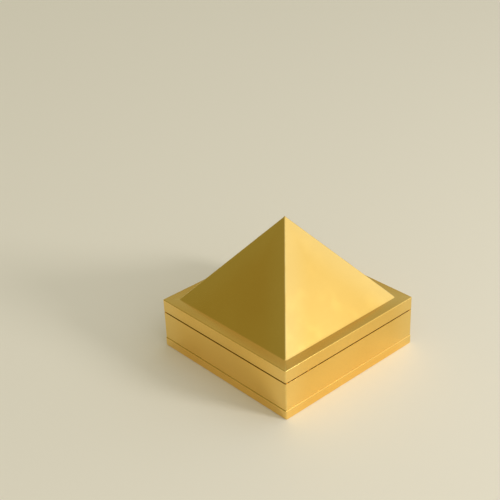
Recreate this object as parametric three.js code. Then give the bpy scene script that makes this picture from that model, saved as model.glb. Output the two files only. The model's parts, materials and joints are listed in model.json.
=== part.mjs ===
// A square brass pyramid box, in millimetres, Z up, standing on Z = 0 with the origin under its middle.
//
// The box is a shallow pan, a folded wall band that stands on the pan's rim, and a neck inside them
// that ties the two together and rises past the seam. The lid is a pressed square frame that slips
// over the neck, with a hollow folded pyramid soldered on its ledge. Stamped plates, each with a
// square pattern of small hollow pyramids, nest in a stack in the box.
import * as THREE from "three";
import { mergeVertices } from "three/addons/utils/BufferGeometryUtils.js";

// Outside of the box and the lid
const width = 76; // across the flats of the wall band and of the lid
const cornerRadius = 0.6; // outside radius of the vertical corners, soldered and filed
const cornerSteps = 4; // facets in each rounded corner

// Box
const boxHeight = 17.2; // table to the top edge of the wall band
const wallSheet = 1;
const panSheet = 1;
const panRimHeight = 4.2; // table to the top edge of the pan's rim
const panProud = 0.2; // the rim stands out past the wall band
const panFootRadius = 0.4; // outside bend between the pan's floor and its rim
const bandJoint = 0.15; // solder line between the pan's rim and the wall band
const neckSheet = 0.8;
const solderFilm = 0.1; // between the neck and the wall band round it

// Lid
const lidSheet = 0.8;
const skirtHeight = 5.85; // skirt's lower edge to the top of the ledge
const seamGap = 0.45; // open line between the wall band and the skirt
const shoulderRadius = 1; // outside bend between the ledge and the skirt
const ledgeWidth = 5.5; // skirt's outside to the foot of the pyramid
const ledgeLap = 0.7; // the ledge reaches this far in past the pyramid's wall
const lidSeatGap = 0.3; // between the neck's top edge and the ledge that rests on it

// Large pyramid
const pyramidHeight = 40; // ledge to apex
const footLand = 0.5; // upright edge of the sheet at the foot, under the slope
const pyramidSheet = 1;
const hipRadius = 0.5; // outside radius of the folded hips

// Stamped plates
const plateCount = 10;
const plateSheet = 0.5;
const plateClearance = 0.6; // each side, between a plate and the neck
const plateMargin = 2; // flat border round the pattern
const plateGutter = 2; // flat strip between two small pyramids
const plateRows = 3; // small pyramids along each side
const smallHeight = 12.8; // plate's top to a small pyramid's apex
const floorGap = 0.3; // under the lowest plate
const nestGap = 0.3; // between the sloping walls of nested plates

const edgeBreak = 0.2; // smallest radius that an edge or an inside corner is given
const bendSteps = 3; // facets in each bend of a profile

const brass = new THREE.MeshStandardMaterial({ color: 0xf0c060, roughness: 0.22, metalness: 1 });
const plainBrass = new THREE.MeshStandardMaterial({ color: 0xd8b060, roughness: 0.38, metalness: 1 });
const stampedBrass = new THREE.MeshStandardMaterial({ color: 0xdcb45c, roughness: 0.32, metalness: 1 });

const half = width / 2;
const wallInner = half - wallSheet;
const neckOuter = wallInner - solderFilm;
const neckInner = neckOuter - neckSheet;
const skirtBottom = boxHeight + seamGap;
const ledgeTop = skirtBottom + skirtHeight;
const neckTop = ledgeTop - lidSheet - lidSeatGap;
const footHalf = half - ledgeWidth;
const apex = ledgeTop + pyramidHeight;

// A point of a profile: half the width of a square, its height, and the radius of its corners.
const at = (halfWidth, z, radius) => ({ halfWidth, z, radius: Math.min(radius, halfWidth) });

// The corner radius of a square that shares its corner centres with the wall band.
const folded = (halfWidth) => Math.max(cornerRadius - (half - halfWidth), edgeBreak);

// A profile's bend about (centreHalf, centreZ), turning from one angle to another, in quarter turns.
function bend(centreHalf, centreZ, radius, from, to) {
  return Array.from({ length: bendSteps + 1 }, (_, i) => {
    const angle = ((from + ((to - from) * i) / bendSteps) * Math.PI) / 2;
    const halfWidth = centreHalf + radius * Math.cos(angle);
    return at(halfWidth, centreZ + radius * Math.sin(angle), folded(halfWidth));
  });
}

// The corners of one square level, anticlockwise from above, with each corner an arc.
function squareLevel({ halfWidth, z, radius }) {
  const level = [];
  for (let corner = 0; corner < 4; corner++) {
    const turned = new THREE.Vector2(halfWidth - radius, halfWidth - radius);
    turned.rotateAround(new THREE.Vector2(), (corner * Math.PI) / 2);
    for (let i = 0; i <= cornerSteps; i++) {
      const angle = ((corner + i / cornerSteps) * Math.PI) / 2;
      level.push(turned.x + radius * Math.cos(angle), turned.y + radius * Math.sin(angle), z);
    }
  }
  return level;
}

// Merges the points that coincide and drops the triangles that this flattens to nothing.
function closedBody(positions, index) {
  const geometry = new THREE.BufferGeometry();
  geometry.setAttribute("position", new THREE.Float32BufferAttribute(positions, 3));
  geometry.setIndex(index);
  const merged = mergeVertices(geometry, 1e-4);
  const kept = [];
  for (let i = 0; i < merged.index.count; i += 3) {
    const [a, b, c] = [0, 1, 2].map((k) => merged.index.getX(i + k));
    if (a !== b && b !== c && c !== a) kept.push(a, b, c);
  }
  merged.setIndex(kept);
  merged.computeVertexNormals();
  return merged;
}

// A lathe for square work: carries a closed profile round a square. The profile runs anticlockwise
// with the outside to the right, and closes on itself or along the middle, where halfWidth is 0.
function squareLathe(profile) {
  const around = 4 * (cornerSteps + 1);
  const index = [];
  profile.forEach((_, row) => {
    const next = (row + 1) % profile.length;
    for (let i = 0; i < around; i++) {
      const j = (i + 1) % around;
      const [a, b, c, d] = [row * around + i, row * around + j, next * around + j, next * around + i];
      index.push(a, b, c, a, c, d);
    }
  });
  return closedBody(profile.flatMap(squareLevel), index);
}

// The pan: a flat floor with its edge bent up into a low rim.
function panGeometry() {
  const outer = half + panProud;
  const inner = outer - panSheet;
  const innerBend = Math.max(panFootRadius - panSheet, edgeBreak);
  return squareLathe([
    at(0, 0, 0),
    ...bend(outer - panFootRadius, panFootRadius, panFootRadius, -1, 0),
    ...bend(outer - edgeBreak, panRimHeight - edgeBreak, edgeBreak, 0, 1),
    at(inner, panRimHeight, folded(inner)),
    ...bend(inner - innerBend, panSheet + innerBend, innerBend, 0, -1),
    at(0, panSheet, 0),
  ]);
}

// A folded band with square edges on the inside and broken edges on the outside.
function bandGeometry(outer, sheet, bottom, top) {
  const inner = outer - sheet;
  return squareLathe([
    at(inner, bottom, folded(inner)),
    ...bend(outer - edgeBreak, bottom + edgeBreak, edgeBreak, -1, 0),
    ...bend(outer - edgeBreak, top - edgeBreak, edgeBreak, 0, 1),
    at(inner, top, folded(inner)),
  ]);
}

// The lid's frame: a flat ledge with a square hole under the pyramid, and a skirt bent down round it.
function lidFrameGeometry(pyramidInnerFoot) {
  const skirtInner = half - lidSheet;
  const hole = pyramidInnerFoot - ledgeLap;
  const innerBend = Math.max(shoulderRadius - lidSheet, edgeBreak);
  const ledgeUnder = ledgeTop - lidSheet;
  return squareLathe([
    at(skirtInner, skirtBottom, folded(skirtInner)),
    ...bend(half - edgeBreak, skirtBottom + edgeBreak, edgeBreak, -1, 0),
    ...bend(half - shoulderRadius, ledgeTop - shoulderRadius, shoulderRadius, 0, 1),
    at(hole, ledgeTop, folded(hole)),
    at(hole, ledgeUnder, folded(hole)),
    ...bend(skirtInner - innerBend, ledgeUnder - innerBend, innerBend, 1, 0),
  ]);
}

// The large pyramid: one sheet folded along its hips, open below, of even thickness. Its foot is
// filed upright where it stands on the ledge.
function pyramidGeometry(slope, innerFoot) {
  const tan = Math.tan(slope);
  const innerApex = apex - pyramidSheet / Math.cos(slope);
  return squareLathe([
    at(footHalf, ledgeTop, hipRadius),
    at(footHalf, ledgeTop + footLand, hipRadius),
    at(hipRadius, apex - hipRadius * tan, hipRadius),
    at(0, apex, 0),
    at(0, innerApex, 0),
    at(edgeBreak, innerApex - edgeBreak * tan, edgeBreak),
    at(innerFoot, ledgeTop, edgeBreak),
  ]);
}

// One face of a stamped plate: the heights of a grid whose lines run along the foot and the middle
// of every small pyramid. Gives the grid's points, row by row.
function stampedFace(plateHalf, footWidth, pitch, flatZ, peakZ) {
  const middles = Array.from({ length: plateRows }, (_, i) => (i - (plateRows - 1) / 2) * pitch);
  const feet = middles.flatMap((m) => [m - footWidth / 2, m, m + footWidth / 2]);
  const lines = [-plateHalf, ...feet, plateHalf];
  const isMiddle = (i) => i % 3 === 2 && i < lines.length - 1;
  return lines.flatMap((y, row) =>
    lines.flatMap((x, column) => [x, y, isMiddle(row) && isMiddle(column) ? peakZ : flatZ]),
  );
}

// A stamped plate lying on Z = 0. Both faces share one grid, so that the walls keep an even thickness.
function plateGeometry(plateHalf, slope, smallFoot, pitch) {
  const lineCount = 3 * plateRows + 2;
  const innerFoot = smallFoot - 2 * plateSheet * Math.tan(slope / 2);
  const innerPeak = (innerFoot / 2) * Math.tan(slope);
  const top = stampedFace(plateHalf, smallFoot, pitch, plateSheet, plateSheet + smallHeight);
  const bottom = stampedFace(plateHalf, innerFoot, pitch, 0, innerPeak);
  const underside = lineCount * lineCount; // number of the first point of the lower face
  const index = [];
  for (let row = 0; row + 1 < lineCount; row++)
    for (let column = 0; column + 1 < lineCount; column++) {
      const a = row * lineCount + column;
      const [b, c, d] = [a + 1, a + 1 + lineCount, a + lineCount];
      // Each cell is cut along the diagonal that ends on the peak, so that the hips are straight.
      const risesTowardsC = (row % 3 === 1) === (column % 3 === 1);
      const cut = risesTowardsC ? [a, b, c, a, c, d] : [b, c, d, b, d, a];
      index.push(...cut, ...cut.map((i) => underside + i).reverse());
    }
  for (let i = 0; i + 1 < lineCount; i++) {
    const last = lineCount - 1;
    const edges = [
      [i, i + 1],
      [i * lineCount + last, (i + 1) * lineCount + last],
      [last * lineCount + i + 1, last * lineCount + i],
      [(i + 1) * lineCount, i * lineCount],
    ];
    for (const [from, to] of edges)
      index.push(underside + from, underside + to, to, underside + from, to, from);
  }
  return closedBody([...top, ...bottom], index);
}

function piece(name, geometry, material, z = 0) {
  const mesh = new THREE.Mesh(geometry, material);
  mesh.name = name;
  mesh.position.z = z;
  return mesh;
}

function boxPieces() {
  const bandBottom = panRimHeight + bandJoint;
  return [
    piece("bottom_pan", panGeometry(), brass),
    piece("wall_band", bandGeometry(half, wallSheet, bandBottom, boxHeight), brass),
    piece("neck", bandGeometry(neckOuter, neckSheet, panSheet, neckTop), plainBrass),
  ];
}

function lidPieces() {
  const slope = Math.atan2(pyramidHeight - footLand, footHalf);
  const innerFoot = footHalf - pyramidSheet / Math.sin(slope) + footLand / Math.tan(slope);
  return [
    piece("lid_frame", lidFrameGeometry(innerFoot), brass),
    piece("pyramid_shell", pyramidGeometry(slope, innerFoot), brass),
  ];
}

function platePieces() {
  const plateHalf = neckInner - plateClearance;
  const patternWidth = 2 * (plateHalf - plateMargin);
  const smallFoot = (patternWidth - (plateRows - 1) * plateGutter) / plateRows;
  const slope = Math.atan2(smallHeight, smallFoot / 2);
  const stackStep = (plateSheet + nestGap) / Math.cos(slope);
  const geometry = plateGeometry(plateHalf, slope, smallFoot, smallFoot + plateGutter);
  return Array.from({ length: plateCount }, (_, i) => {
    const number = String(i + 1).padStart(2, "0");
    return piece(`pyramid_plate_${number}`, geometry, stampedBrass, panSheet + floorGap + i * stackStep);
  });
}

const pyramidBox = new THREE.Group();
pyramidBox.add(...boxPieces(), ...platePieces(), ...lidPieces());

export default pyramidBox;
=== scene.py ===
import json
import math

import bmesh
import bpy
from mathutils import Matrix, Vector


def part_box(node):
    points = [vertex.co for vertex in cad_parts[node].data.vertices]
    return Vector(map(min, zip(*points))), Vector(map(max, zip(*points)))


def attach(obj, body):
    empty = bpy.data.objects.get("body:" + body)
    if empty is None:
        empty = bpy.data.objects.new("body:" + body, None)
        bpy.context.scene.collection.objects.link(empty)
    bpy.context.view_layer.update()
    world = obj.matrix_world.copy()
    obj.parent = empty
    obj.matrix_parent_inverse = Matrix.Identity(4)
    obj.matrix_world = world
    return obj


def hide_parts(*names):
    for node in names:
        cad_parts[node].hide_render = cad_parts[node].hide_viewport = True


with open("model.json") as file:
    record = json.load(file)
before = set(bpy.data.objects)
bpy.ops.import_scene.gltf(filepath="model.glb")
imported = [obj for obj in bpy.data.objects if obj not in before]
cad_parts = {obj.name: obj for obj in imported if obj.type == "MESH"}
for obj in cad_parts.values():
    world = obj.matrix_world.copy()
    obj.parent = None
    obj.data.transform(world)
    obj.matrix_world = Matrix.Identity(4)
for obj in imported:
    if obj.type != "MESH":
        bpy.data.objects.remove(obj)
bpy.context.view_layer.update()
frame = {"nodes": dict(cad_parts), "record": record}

MM = 0.001

# Sizes that come from the frame
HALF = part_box("wall_band")[1].x
PAN_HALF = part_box("bottom_pan")[1].x
PAN_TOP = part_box("bottom_pan")[1].z
BAND_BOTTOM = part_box("wall_band")[0].z
BAND_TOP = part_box("wall_band")[1].z
SKIRT_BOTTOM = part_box("lid_frame")[0].z
LEDGE_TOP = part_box("lid_frame")[1].z
FOOT_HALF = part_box("pyramid_shell")[1].x
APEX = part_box("pyramid_shell")[1].z
SEAM = (BAND_TOP + SKIRT_BOTTOM) / 2

# Sizes of the sheet, and of the finish that is finer than the solids
SHEET = 1.0 * MM
LID_SHEET = 0.8 * MM
CORNER_RADIUS = 0.6 * MM
PAN_FOOT_RADIUS = 0.4 * MM
SHOULDER_RADIUS = 0.3 * MM
HIP_RADIUS = 0.5 * MM
FOOT_LAND = 0.5 * MM
EDGE_BREAK = 0.15 * MM
RIM_BREAK = 0.08 * MM
SOLDER_DEPTH = 0.08 * MM
SOLDER_FOOT = 0.45 * MM
LEDGE_LAP = 0.7 * MM
SLOPE = math.atan2(APEX - LEDGE_TOP - FOOT_LAND, FOOT_HALF)

# Stamped plates
PLATE_SHEET = 0.5 * MM
PLATE_MARGIN = 2 * MM
PLATE_GUTTER = 2 * MM
PLATE_ROWS = 3
PLATE_FILLET = 0.7 * MM
PLATE_HIP = 0.35 * MM
TIP_PARTS = 3  # a blunt tip gives up one of this many parts of its height

# Fineness of the meshes
CORNER_STEPS = 12
BEND_STEPS = 8
PLATE_STEPS = 4
MERGE_DISTANCE = 1e-7
SLIVER_LENGTH = 1e-8
SHARP_ANGLE = math.radians(35)

# The finish, with its painted shade and highlights: scales and lines count patterns to the metre
PATCH_SCALE = 38
PATCH_SHARE = 0.18
SMUDGE_SCALE = 95
WAVE_SCALE = 24
LINES_ACROSS = 3200
LINES_ALONG = 45
LINE_HAZE_SHARE = 0.4
# Colour goes darker near the seam between lid and box: painted shade in the gap, with a little
# tarnish
SEAM_TARNISH_AND_SHADE_REACH = 0.8 * MM
SEAM_TARNISH_AND_SHADE_CORE = 0.1 * MM
SEAM_TARNISH_AND_SHADE_SHARE = 0.75
# Edges and hips get a lighter colour: partly wear, partly a painted highlight along them
WEAR_AND_HIGHLIGHT_SCALE = 160
WEAR_AND_HIGHLIGHT_WIDTH = 1.6 * MM
WEAR_AND_HIGHLIGHT_COLOUR = (1.0, 0.75, 0.28)
WEAR_AND_HIGHLIGHT_SHARE = 0.85
WORN_SMOOTHING = 0.06  # roughness that a worn edge loses
# A wide painted sheen that lightens the faces towards the hips and the apex
PAINTED_SHEEN_WIDTH = 16 * MM
PAINTED_SHEEN_SHARE = 0.5

# The camera, fitted to the corners of the photographed box
CAMERA_AZIMUTH = math.radians(-41.53)
CAMERA_ELEVATION = math.radians(29.27)
CAMERA_ROLL = math.radians(-2.43)
CAMERA_DISTANCE = 12.08 * HALF
CAMERA_AIM = Vector((-0.393, 0.667, 0.5)) * HALF
FOCAL_PIXELS = 1060
IMAGE_PIXELS = 500
SENSOR = 36
NEAR_CLIP = 0.01
FAR_CLIP = 50

# The studio
KEY_FROM = Vector((0.350, -0.866, 0.358))
KEY_DISTANCE = 1.0
KEY_SIZE = 0.25
KEY_POWER = 4.6
KEY_COLOUR = (1.0, 0.98, 0.94)
FLOOR_HALF = 6
FLOOR_COLOUR = (0.88, 0.83, 0.72)
FLOOR_ROUGHNESS = 0.55
BRIGHT_SIDE = Vector((0.40, -0.92, 0))
ROOM_FADE = 0.9
DIM_ROOM = (0.275, 0.255, 0.10)
BRIGHT_ROOM = (1.0, 1.0, 1.0)


def camera():
    """The camera looks along the fitted direction, with its aim given along its own axes and up."""
    flat = math.cos(CAMERA_ELEVATION)
    back = Vector((
        math.sin(CAMERA_AZIMUTH) * flat,
        -math.cos(CAMERA_AZIMUTH) * flat,
        math.sin(CAMERA_ELEVATION),
    ))
    right = Vector((math.cos(CAMERA_AZIMUTH), math.sin(CAMERA_AZIMUTH), 0))
    up = back.cross(right)
    rolled_right = math.cos(CAMERA_ROLL) * right + math.sin(CAMERA_ROLL) * up
    rolled_up = back.cross(rolled_right)
    aim = CAMERA_AIM.x * right + CAMERA_AIM.y * up + Vector((0, 0, CAMERA_AIM.z))
    lens = bpy.data.cameras.new("camera")
    lens.sensor_width = SENSOR
    lens.lens = FOCAL_PIXELS / IMAGE_PIXELS * SENSOR
    lens.clip_start = NEAR_CLIP
    lens.clip_end = FAR_CLIP
    seen = bpy.data.objects.new("camera", lens)
    turn = Matrix((rolled_right, rolled_up, back)).transposed().to_4x4()
    seen.matrix_world = Matrix.Translation(aim + back * CAMERA_DISTANCE) @ turn
    bpy.context.collection.objects.link(seen)
    bpy.context.scene.camera = seen


def add(tree, kind, inputs=(), **settings):
    """A shader node with its settings, whose inputs are set to values or linked to sockets."""
    new = tree.nodes.new(kind)
    for key, value in settings.items():
        setattr(new, key, value)
    for key, value in dict(inputs).items():
        if isinstance(value, bpy.types.NodeSocket):
            tree.links.new(value, new.inputs[key])
        else:
            new.inputs[key].default_value = value
    return new


def maths(tree, operation, first, second=0.0):
    """The result of one operation on values or sockets."""
    return add(tree, "ShaderNodeMath", {0: first, 1: second}, operation=operation).outputs[0]


def span(tree, value, none_at, full_at):
    """Runs smoothly from 0 where value is none_at to 1 where it is full_at, and no further."""
    inputs = {0: value, 1: none_at, 2: full_at}
    return add(tree, "ShaderNodeMapRange", inputs, interpolation_type="SMOOTHSTEP").outputs[0]


def noise(tree, vector, scale, detail=2.0, roughness=0.5):
    """Soft random patterns between about 0 and 1."""
    inputs = {"Vector": vector, "Scale": scale, "Detail": detail, "Roughness": roughness}
    return add(tree, "ShaderNodeTexNoise", inputs).outputs[0]


def blend_colour(tree, share, first, second):
    """The mix of two colours, each a value or a socket."""
    inputs = {0: share, 6: first, 7: second}
    return add(tree, "ShaderNodeMix", inputs, data_type="RGBA").outputs[2]


def polishing_direction(tree, across, along):
    """A vector that runs quickly away from the sides of the square and slowly along them."""
    where = add(tree, "ShaderNodeTexCoord").outputs["Object"]
    parts = add(tree, "ShaderNodeSeparateXYZ", {0: where}).outputs
    x = maths(tree, "ABSOLUTE", parts[0])
    y = maths(tree, "ABSOLUTE", parts[1])
    outward = maths(tree, "MAXIMUM", x, y)
    on_y_side = maths(tree, "GREATER_THAN", y, x)
    ends = add(tree, "ShaderNodeMix", {0: on_y_side, 2: parts[1], 3: parts[0]}).outputs[0]
    inputs = {
        0: maths(tree, "MULTIPLY", outward, across),
        1: maths(tree, "MULTIPLY", ends, along),
        2: maths(tree, "MULTIPLY", parts[2], across),
    }
    return add(tree, "ShaderNodeCombineXYZ", inputs).outputs[0]


def wear_and_painted_highlight(tree, where):
    """How near a point lies to a hip or an upright corner: a narrow broken band of wear and painted
    highlight, and a wide painted sheen that lightens the faces towards the hips and the apex.
    """
    parts = add(tree, "ShaderNodeSeparateXYZ", {0: where}).outputs
    x = maths(tree, "ABSOLUTE", parts[0])
    y = maths(tree, "ABSOLUTE", parts[1])
    distance = maths(tree, "ABSOLUTE", maths(tree, "SUBTRACT", x, y))
    near = span(tree, distance, WEAR_AND_HIGHLIGHT_WIDTH, 0)
    broken = span(tree, noise(tree, where, WEAR_AND_HIGHLIGHT_SCALE, detail=3), none_at=0.3, full_at=0.6)
    # painted sheen: the faces lighten towards the hips and the apex
    painted_sheen = maths(tree, "MULTIPLY", span(tree, distance, PAINTED_SHEEN_WIDTH, 0), PAINTED_SHEEN_SHARE)
    return maths(tree, "MAXIMUM", maths(tree, "MULTIPLY", near, broken), painted_sheen)


def brass(name, colour, deep, roughness, haze, line_depth, wave_depth):
    """Sheet brass: deeper patches, painted shade with a little tarnish at the seam, worn edges with
    painted highlights, a painted sheen near the hips, hazy smudges, polishing lines and a slow wave.
    """
    material = bpy.data.materials.new(name)
    material.use_nodes = True
    tree = material.node_tree
    tree.nodes.clear()
    where = add(tree, "ShaderNodeTexCoord").outputs["Object"]
    height = add(tree, "ShaderNodeSeparateXYZ", {0: where}).outputs[2]

    patches = span(tree, noise(tree, where, PATCH_SCALE, detail=3), none_at=0.35, full_at=0.75)
    smudge_noise = noise(tree, where, SMUDGE_SCALE, detail=5, roughness=0.6)
    smudges = span(tree, smudge_noise, none_at=0.45, full_at=0.75)
    lines = noise(tree, polishing_direction(tree, LINES_ACROSS, LINES_ALONG), scale=1)
    waves = noise(tree, where, WAVE_SCALE, detail=1)
    seam_distance = maths(tree, "ABSOLUTE", maths(tree, "SUBTRACT", height, SEAM))
    # painted shade at the seam gap, with a little tarnish
    seam_tarnish_and_shade = span(tree, seam_distance, SEAM_TARNISH_AND_SHADE_REACH, SEAM_TARNISH_AND_SHADE_CORE)
    edge_wear_and_highlight = wear_and_painted_highlight(tree, where)

    patch_tint = maths(tree, "MULTIPLY", patches, PATCH_SHARE)
    seam_tarnish_and_shade_tint = maths(tree, "MULTIPLY", seam_tarnish_and_shade, SEAM_TARNISH_AND_SHADE_SHARE)
    tint = maths(tree, "ADD", patch_tint, seam_tarnish_and_shade_tint)
    shade = blend_colour(tree, tint, (*colour, 1), (*deep, 1))
    # painted highlight and sheen over some wear: lighter colour along the edges and hips and towards
    # the apex
    shade = blend_colour(tree, maths(tree, "MULTIPLY", edge_wear_and_highlight, WEAR_AND_HIGHLIGHT_SHARE), shade, (*WEAR_AND_HIGHLIGHT_COLOUR, 1))
    spread = maths(tree, "ADD", roughness, maths(tree, "MULTIPLY", smudges, haze))
    spread = maths(tree, "ADD", spread, maths(tree, "MULTIPLY", lines, haze * LINE_HAZE_SHARE))
    spread = maths(tree, "SUBTRACT", spread, maths(tree, "MULTIPLY", edge_wear_and_highlight, WORN_SMOOTHING))
    wave = add(tree, "ShaderNodeBump", {"Height": waves, "Distance": wave_depth, "Strength": 1.0})
    line = add(tree, "ShaderNodeBump", {
        "Height": lines,
        "Distance": line_depth,
        "Strength": 1.0,
        "Normal": wave.outputs[0],
    })
    surface = add(tree, "ShaderNodeBsdfPrincipled", {
        "Base Color": shade,
        "Metallic": 1.0,
        "Roughness": spread,
        "Normal": line.outputs[0],
    })
    add(tree, "ShaderNodeOutputMaterial", {0: surface.outputs[0]})
    return material


def at(half_width, z, radius=None):
    """A point of a profile: half the width of a square, its height and its corner radius."""
    folded = max(CORNER_RADIUS - (HALF - half_width), EDGE_BREAK)
    return half_width, z, min(folded if radius is None else radius, max(half_width, 0))


def bend(centre_half, centre_z, radius, start, end):
    """A bend of a profile, from one angle to another in quarter turns."""
    angles = [(start + (end - start) * i / BEND_STEPS) * math.pi / 2 for i in range(BEND_STEPS + 1)]
    return [at(centre_half + radius * math.cos(a), centre_z + radius * math.sin(a)) for a in angles]


def level(half_width, z, radius, steps=CORNER_STEPS):
    """The points round one square level, anticlockwise from above."""
    points = []
    for corner in range(4):
        turn = Matrix.Rotation(corner * math.pi / 2, 3, "Z")
        for i in range(steps + 1):
            angle = i / steps * math.pi / 2
            reach = half_width - radius
            point = Vector((reach + radius * math.cos(angle), reach + radius * math.sin(angle), z))
            points.append(turn @ point)
    return points


def clean(mesh):
    """Merges the points that coincide and drops the faces that this flattens to nothing."""
    bmesh.ops.remove_doubles(mesh, verts=mesh.verts, dist=MERGE_DISTANCE)
    bmesh.ops.dissolve_degenerate(mesh, edges=mesh.edges, dist=SLIVER_LENGTH)


def square_lathe(name, profile, material, body):
    """Carries a closed profile round a square, as a lathe does round a circle."""
    mesh = bmesh.new()
    rings = [[mesh.verts.new(p) for p in level(*point)] for point in profile]
    around = len(rings[0])
    for row, ring in enumerate(rings):
        following = rings[(row + 1) % len(rings)]
        for i in range(around):
            j = (i + 1) % around
            mesh.faces.new((ring[i], ring[j], following[j], following[i]))
    clean(mesh)
    bmesh.ops.recalc_face_normals(mesh, faces=mesh.faces)
    return finished(name, mesh, material, body)


def finished(name, mesh, material, body):
    """An object from a mesh, shaded smooth over its bends and flat over its flats."""
    data = bpy.data.meshes.new(name)
    for face in mesh.faces:
        face.smooth = True
    for edge in mesh.edges:
        edge.smooth = len(edge.link_faces) == 2 and edge.calc_face_angle(0) < SHARP_ANGLE
    mesh.to_mesh(data)
    mesh.free()
    data.materials.append(material)
    piece = bpy.data.objects.new(name, data)
    bpy.context.collection.objects.link(piece)
    weighted = piece.modifiers.new("flat faces stay flat", "WEIGHTED_NORMAL")
    weighted.keep_sharp = True
    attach(piece, body)
    return piece


def bottom_pan(material):
    """The pan: a flat floor, a bend at its foot, and a rim with its outer edge chamfered."""
    outer = PAN_HALF
    inner = outer - SHEET
    piece = square_lathe("pan_skin", [
        at(0, 0, 0),
        *bend(outer - PAN_FOOT_RADIUS, PAN_FOOT_RADIUS, PAN_FOOT_RADIUS, -1, 0),
        at(outer, PAN_TOP - (outer - HALF)),
        at(HALF, PAN_TOP),
        at(inner, PAN_TOP),
        *bend(inner - EDGE_BREAK, SHEET + EDGE_BREAK, EDGE_BREAK, 0, -1),
        at(0, SHEET, 0),
    ], material, "base")
    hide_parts("bottom_pan")


def wall_band(material):
    """The walls, with their outer edges broken."""
    inner = HALF - SHEET
    piece = square_lathe("wall_skin", [
        at(inner, BAND_BOTTOM),
        *bend(HALF - RIM_BREAK, BAND_BOTTOM + RIM_BREAK, RIM_BREAK, -1, 0),
        *bend(HALF - EDGE_BREAK, BAND_TOP - EDGE_BREAK, EDGE_BREAK, 0, 1),
        at(inner, BAND_TOP),
    ], material, "base")
    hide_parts("wall_band")


def pan_solder(material):
    """The solder that was run into the joint of pan and wall band, just under the surface."""
    outer = HALF - SOLDER_DEPTH
    inner = HALF - SHEET
    corners = ((outer, PAN_TOP), (outer, BAND_BOTTOM), (inner, BAND_BOTTOM), (inner, PAN_TOP))
    piece = square_lathe("pan_solder", [at(*corner) for corner in corners], material, "base")


def lid_frame(material, hole):
    """The lid's frame: a skirt, a bent shoulder, and a flat ledge with a square hole in it."""
    inner = HALF - LID_SHEET
    under = LEDGE_TOP - LID_SHEET
    piece = square_lathe("lid_frame_skin", [
        at(inner, SKIRT_BOTTOM),
        *bend(HALF - EDGE_BREAK, SKIRT_BOTTOM + EDGE_BREAK, EDGE_BREAK, -1, 0),
        *bend(HALF - SHOULDER_RADIUS, LEDGE_TOP - SHOULDER_RADIUS, SHOULDER_RADIUS, 0, 1),
        at(hole, LEDGE_TOP),
        at(hole, under),
        *bend(inner - EDGE_BREAK, under - EDGE_BREAK, EDGE_BREAK, 1, 0),
    ], material, "lid")
    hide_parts("lid_frame")


def pyramid_shell(material, inner_foot):
    """The large pyramid: hollow, open below, with rounded hips and an upright edge at its foot."""
    tan = math.tan(SLOPE)
    inner_apex = APEX - SHEET / math.cos(SLOPE)
    piece = square_lathe("pyramid_skin", [
        at(FOOT_HALF, LEDGE_TOP, HIP_RADIUS),
        at(FOOT_HALF, LEDGE_TOP + FOOT_LAND, HIP_RADIUS),
        at(HIP_RADIUS, APEX - HIP_RADIUS * tan, HIP_RADIUS),
        at(0, APEX, 0),
        at(0, inner_apex, 0),
        at(EDGE_BREAK, inner_apex - EDGE_BREAK * tan, EDGE_BREAK),
        at(inner_foot, LEDGE_TOP, EDGE_BREAK),
    ], material, "lid")
    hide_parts("pyramid_shell")


def foot_solder(material):
    """The thin fillet of solder along the foot of the large pyramid."""
    piece = square_lathe("foot_solder", [
        at(FOOT_HALF, LEDGE_TOP, HIP_RADIUS),
        at(FOOT_HALF + SOLDER_FOOT, LEDGE_TOP, HIP_RADIUS + SOLDER_FOOT),
        at(FOOT_HALF, LEDGE_TOP + FOOT_LAND, HIP_RADIUS),
    ], material, "lid")


def small_pyramid(mesh, centre, cell_half, foot_half, top, rise):
    """One cell of a plate: the flat round a small pyramid, the fillet at its foot, and its faces."""
    tan = rise / foot_half
    slope = math.atan(tan)
    tangent = PLATE_FILLET * math.tan(slope / 2)
    profile = [(cell_half, top, 0)]
    for i in range(PLATE_STEPS + 1):
        angle = slope * i / PLATE_STEPS
        half_width = foot_half + tangent - PLATE_FILLET * math.sin(angle)
        profile.append((half_width, top + PLATE_FILLET * (1 - math.cos(angle)), PLATE_HIP))
    profile.append((PLATE_HIP, top + rise - PLATE_HIP * tan, PLATE_HIP))
    rings = [[mesh.verts.new(p + centre) for p in level(*point, PLATE_STEPS)] for point in profile]
    for lower, upper in zip(rings, rings[1:]):
        for i in range(len(lower)):
            j = (i + 1) % len(lower)
            mesh.faces.new((lower[i], lower[j], upper[j], upper[i]))
    peak = mesh.verts.new(centre + Vector((0, 0, top + rise - PLATE_HIP * tan / TIP_PARTS)))
    last = rings[-1]
    for i in range(len(last)):
        mesh.faces.new((last[i], last[(i + 1) % len(last)], peak))


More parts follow.
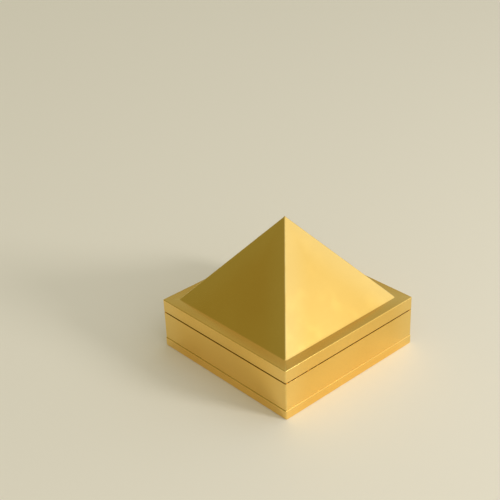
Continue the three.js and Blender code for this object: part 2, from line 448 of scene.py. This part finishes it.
def stamped_plate(node, body, material):
    """A thin plate stamped with a square pattern of small pyramids."""
    low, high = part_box(node)
    top = low.z + PLATE_SHEET
    foot = (2 * (high.x - PLATE_MARGIN) - (PLATE_ROWS - 1) * PLATE_GUTTER) / PLATE_ROWS
    pitch = foot + PLATE_GUTTER
    cells = [(i - PLATE_ROWS / 2) * pitch for i in range(PLATE_ROWS + 1)]
    lines = [-high.x, *cells, high.x]
    mesh = bmesh.new()
    for row, (south, north) in enumerate(zip(lines, lines[1:])):
        for column, (west, east) in enumerate(zip(lines, lines[1:])):
            if 0 < row <= PLATE_ROWS and 0 < column <= PLATE_ROWS:
                centre = Vector(((west + east) / 2, (south + north) / 2, 0))
                small_pyramid(mesh, centre, pitch / 2, foot / 2, top, high.z - top)
            else:
                corners = ((west, south), (east, south), (east, north), (west, north))
                mesh.faces.new([mesh.verts.new((x, y, top)) for x, y in corners])
    clean(mesh)
    piece = finished(f"{node}_skin", mesh, material, body)
    sheet = piece.modifiers.new("sheet", "SOLIDIFY")
    sheet.thickness = PLATE_SHEET
    sheet.offset = -1
    sheet.use_even_offset = True
    piece.modifiers.move(1, 0)  # the sheet gets its thickness before its shading
    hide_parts(node)


def floor():
    """A plain pale floor, which the box stands on."""
    ground = bpy.data.materials.new("floor")
    ground.use_nodes = True
    shader = ground.node_tree.nodes["Principled BSDF"]
    shader.inputs["Base Color"].default_value = (*FLOOR_COLOUR, 1)
    shader.inputs["Roughness"].default_value = FLOOR_ROUGHNESS
    corners = [Vector((x, y, 0)) * FLOOR_HALF for x, y in ((-1, -1), (1, -1), (1, 1), (-1, 1))]
    plane = bpy.data.meshes.new("floor")
    plane.from_pydata(corners, [], [(0, 1, 2, 3)])
    plane.materials.append(ground)
    laid = bpy.data.objects.new("floor", plane)
    bpy.context.collection.objects.link(laid)


def key_lamp():
    """A soft lamp to the right of the camera, which the camera doesn't see directly."""
    lamp = bpy.data.lights.new("key", "AREA")
    lamp.shape = "DISK"
    lamp.size = KEY_SIZE
    lamp.energy = KEY_POWER
    lamp.color = KEY_COLOUR
    key = bpy.data.objects.new("key", lamp)
    key.location = KEY_FROM * KEY_DISTANCE
    key.rotation_euler = KEY_FROM.to_track_quat("Z", "Y").to_euler()
    key.visible_camera = False
    bpy.context.collection.objects.link(key)


def room():
    """The light of the room, which is brighter on the lamp's side."""
    world = bpy.data.worlds.new("room")
    bpy.context.scene.world = world
    world.use_nodes = True
    tree = world.node_tree
    tree.nodes.clear()
    direction = add(tree, "ShaderNodeTexCoord").outputs["Generated"]
    side = add(tree, "ShaderNodeVectorMath", {0: direction, 1: BRIGHT_SIDE}, operation="DOT_PRODUCT")
    share = span(tree, side.outputs["Value"], -ROOM_FADE, ROOM_FADE)
    colour = blend_colour(tree, share, (*DIM_ROOM, 1), (*BRIGHT_ROOM, 1))
    background = add(tree, "ShaderNodeBackground", {0: colour, 1: 1.0})
    add(tree, "ShaderNodeOutputWorld", {0: background.outputs[0]})


camera()
floor()
key_lamp()
room()
satin = brass(
    "satin_brass",
    colour=(0.91, 0.60, 0.155),
    deep=(0.76, 0.42, 0.06),
    roughness=0.17,
    haze=0.05,
    line_depth=0.0005 * MM,
    wave_depth=0.06 * MM,
)
plain = brass(
    "plain_brass",
    colour=(0.74, 0.50, 0.20),
    # nearly black, so that the neck paints the shade of the seam gap
    deep=(0.16, 0.08, 0.025),
    roughness=0.38,
    haze=0.14,
    line_depth=0.002 * MM,
    wave_depth=0.05 * MM,
)
stamped = brass(
    "stamped_brass",
    colour=(0.84, 0.56, 0.17),
    deep=(0.66, 0.40, 0.10),
    roughness=0.26,
    haze=0.10,
    line_depth=0.0006 * MM,
    wave_depth=0.02 * MM,
)

inner_foot_half = FOOT_HALF - SHEET / math.sin(SLOPE) + FOOT_LAND / math.tan(SLOPE)
bottom_pan(satin)
wall_band(satin)
pan_solder(plain)
lid_frame(satin, inner_foot_half - LEDGE_LAP)
pyramid_shell(satin, inner_foot_half)
foot_solder(satin)
for body_name, members in frame["record"]["behaviour"]["bodies"].items():
    if body_name.startswith("plate"):
        stamped_plate(members[0], body_name, stamped)
# The neck shows through the seam gap, and its near-black deep tone paints the gap's shade
frame["nodes"]["neck"].data.materials.clear()
frame["nodes"]["neck"].data.materials.append(plain)

scene = bpy.context.scene
scene.view_settings.view_transform = "Standard"
